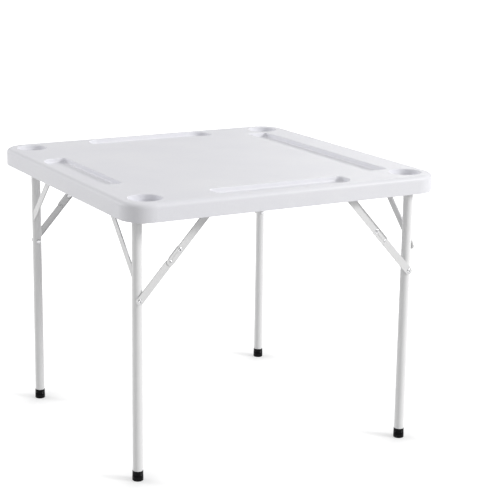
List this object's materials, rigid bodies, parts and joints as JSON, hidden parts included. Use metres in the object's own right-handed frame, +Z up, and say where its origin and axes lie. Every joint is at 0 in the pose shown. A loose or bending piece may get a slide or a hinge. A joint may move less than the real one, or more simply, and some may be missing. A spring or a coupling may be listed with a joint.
{
  "type": "folding card table",
  "caption": "Square folding card table with a moulded plastic top, cup and tray recesses, and two tubular steel leg frames that fold flat under the top on locking braces.",
  "frame": {"origin": "on the floor, under the middle of the square top", "axes": "+Z up; both leg frames fold along X; +X points to the side with the long tray, whose legs stand further out; the front is -Y"},
  "size_m": [0.88, 0.88, 0.724],
  "materials": {
    "top_plastic": "pale grey-white moulded polyethylene with a fine pebble grain",
    "skin_plastic": "the same polyethylene, smooth moulded",
    "rail_paint": "light grey powder coat",
    "tube_paint": "light grey powder coat",
    "link_paint": "light grey powder coat",
    "foot_rubber": "black, matt",
    "rivet_steel": "bright zinc plate",
    "fitting_plastic": "black nylon"
  },
  "bodies": {
    "top": {"table_top": "top_plastic", "underside_skin": "skin_plastic", "rail_front": "rail_paint", "rail_back": "rail_paint", "centre_stretcher": "rail_paint", "brace_bracket_front": "rail_paint", "brace_bracket_back": "rail_paint", "leg_clip_front": "fitting_plastic", "leg_clip_back": "fitting_plastic", "pivot_bushes": "fitting_plastic", "frame_screws": "rivet_steel", "inner_pivot_rivet_front": "rivet_steel", "inner_pivot_rivet_back": "rivet_steel", "inner_pivot_washer_front": "rivet_steel", "inner_pivot_washer_back": "rivet_steel", "outer_pivot_rivet_front": "rivet_steel", "outer_pivot_rivet_back": "rivet_steel", "outer_pivot_washer_front": "rivet_steel", "outer_pivot_washer_back": "rivet_steel"},
    "inner_frame": {"inner_cross_tube": "tube_paint", "inner_leg_front": "tube_paint", "inner_leg_back": "tube_paint", "inner_foot_front": "foot_rubber", "inner_foot_back": "foot_rubber", "inner_strut_front": "link_paint", "inner_strut_back": "link_paint", "inner_strut_rivets": "rivet_steel", "inner_leg_pins": "rivet_steel", "inner_tube_plugs": "fitting_plastic"},
    "inner_upper_link_front": {"inner_upper_link_front": "link_paint", "inner_knee_rivet_front": "rivet_steel", "inner_catch_rivet_front": "rivet_steel"},
    "inner_lower_link_front": {"inner_lower_link_front": "link_paint", "inner_leg_rivet_front": "rivet_steel"},
    "inner_upper_link_back": {"inner_upper_link_back": "link_paint", "inner_knee_rivet_back": "rivet_steel", "inner_catch_rivet_back": "rivet_steel"},
    "inner_lower_link_back": {"inner_lower_link_back": "link_paint", "inner_leg_rivet_back": "rivet_steel"},
    "outer_frame": {"outer_cross_tube": "tube_paint", "outer_leg_front": "tube_paint", "outer_leg_back": "tube_paint", "outer_foot_front": "foot_rubber", "outer_foot_back": "foot_rubber", "outer_strut_front": "link_paint", "outer_strut_back": "link_paint", "outer_strut_rivets": "rivet_steel", "outer_leg_pins": "rivet_steel", "outer_tube_plugs": "fitting_plastic"},
    "outer_upper_link_front": {"outer_upper_link_front": "link_paint", "outer_knee_rivet_front": "rivet_steel", "outer_catch_rivet_front": "rivet_steel"},
    "outer_lower_link_front": {"outer_lower_link_front": "link_paint", "outer_leg_rivet_front": "rivet_steel"},
    "outer_upper_link_back": {"outer_upper_link_back": "link_paint", "outer_knee_rivet_back": "rivet_steel", "outer_catch_rivet_back": "rivet_steel"},
    "outer_lower_link_back": {"outer_lower_link_back": "link_paint", "outer_leg_rivet_back": "rivet_steel"}
  },
  "joints": [
    {"name": "inner_frame_fold", "type": "hinge", "parent": "top", "child": "inner_frame", "pos_m": [-0.375, 0, 0.684], "axis": [0, -1, 0], "range_deg": [0, 90]},
    {"name": "outer_frame_fold", "type": "hinge", "parent": "top", "child": "outer_frame", "pos_m": [0.375, 0, 0.684], "axis": [0, 1, 0], "range_deg": [0, 90]},
    {"name": "inner_brace_swing_front", "type": "hinge", "parent": "top", "child": "inner_upper_link_front", "pos_m": [-0.177, -0.34975, 0.684], "axis": [0, -1, 0], "range_deg": [-47.9, 0]},
    {"name": "inner_brace_knee_front", "type": "hinge", "parent": "inner_upper_link_front", "child": "inner_lower_link_front", "pos_m": [-0.26896, -0.34975, 0.58229], "axis": [0, -1, 0], "range_deg": [0, 180]},
    {"name": "inner_brace_swing_back", "type": "hinge", "parent": "top", "child": "inner_upper_link_back", "pos_m": [-0.177, 0.34975, 0.684], "axis": [0, -1, 0], "range_deg": [-47.9, 0]},
    {"name": "inner_brace_knee_back", "type": "hinge", "parent": "inner_upper_link_back", "child": "inner_lower_link_back", "pos_m": [-0.26896, 0.34975, 0.58229], "axis": [0, -1, 0], "range_deg": [0, 180]},
    {"name": "outer_brace_swing_front", "type": "hinge", "parent": "top", "child": "outer_upper_link_front", "pos_m": [0.177, -0.39875, 0.684], "axis": [0, 1, 0], "range_deg": [-47.9, 0]},
    {"name": "outer_brace_knee_front", "type": "hinge", "parent": "outer_upper_link_front", "child": "outer_lower_link_front", "pos_m": [0.26896, -0.39875, 0.58229], "axis": [0, 1, 0], "range_deg": [0, 180]},
    {"name": "outer_brace_swing_back", "type": "hinge", "parent": "top", "child": "outer_upper_link_back", "pos_m": [0.177, 0.39875, 0.684], "axis": [0, 1, 0], "range_deg": [-47.9, 0]},
    {"name": "outer_brace_knee_back", "type": "hinge", "parent": "outer_upper_link_back", "child": "outer_lower_link_back", "pos_m": [0.26896, 0.39875, 0.58229], "axis": [0, 1, 0], "range_deg": [0, 180]}
  ],
  "couplings": [
    {"joint": "inner_brace_swing_front", "follows": "inner_frame_fold", "ratio": -0.53203},
    {"joint": "inner_brace_knee_front", "follows": "inner_frame_fold", "ratio": 2},
    {"joint": "inner_brace_swing_back", "follows": "inner_frame_fold", "ratio": -0.53203},
    {"joint": "inner_brace_knee_back", "follows": "inner_frame_fold", "ratio": 2},
    {"joint": "outer_brace_swing_front", "follows": "outer_frame_fold", "ratio": -0.53203},
    {"joint": "outer_brace_knee_front", "follows": "outer_frame_fold", "ratio": 2},
    {"joint": "outer_brace_swing_back", "follows": "outer_frame_fold", "ratio": -0.53203},
    {"joint": "outer_brace_knee_back", "follows": "outer_frame_fold", "ratio": 2}
  ]
}
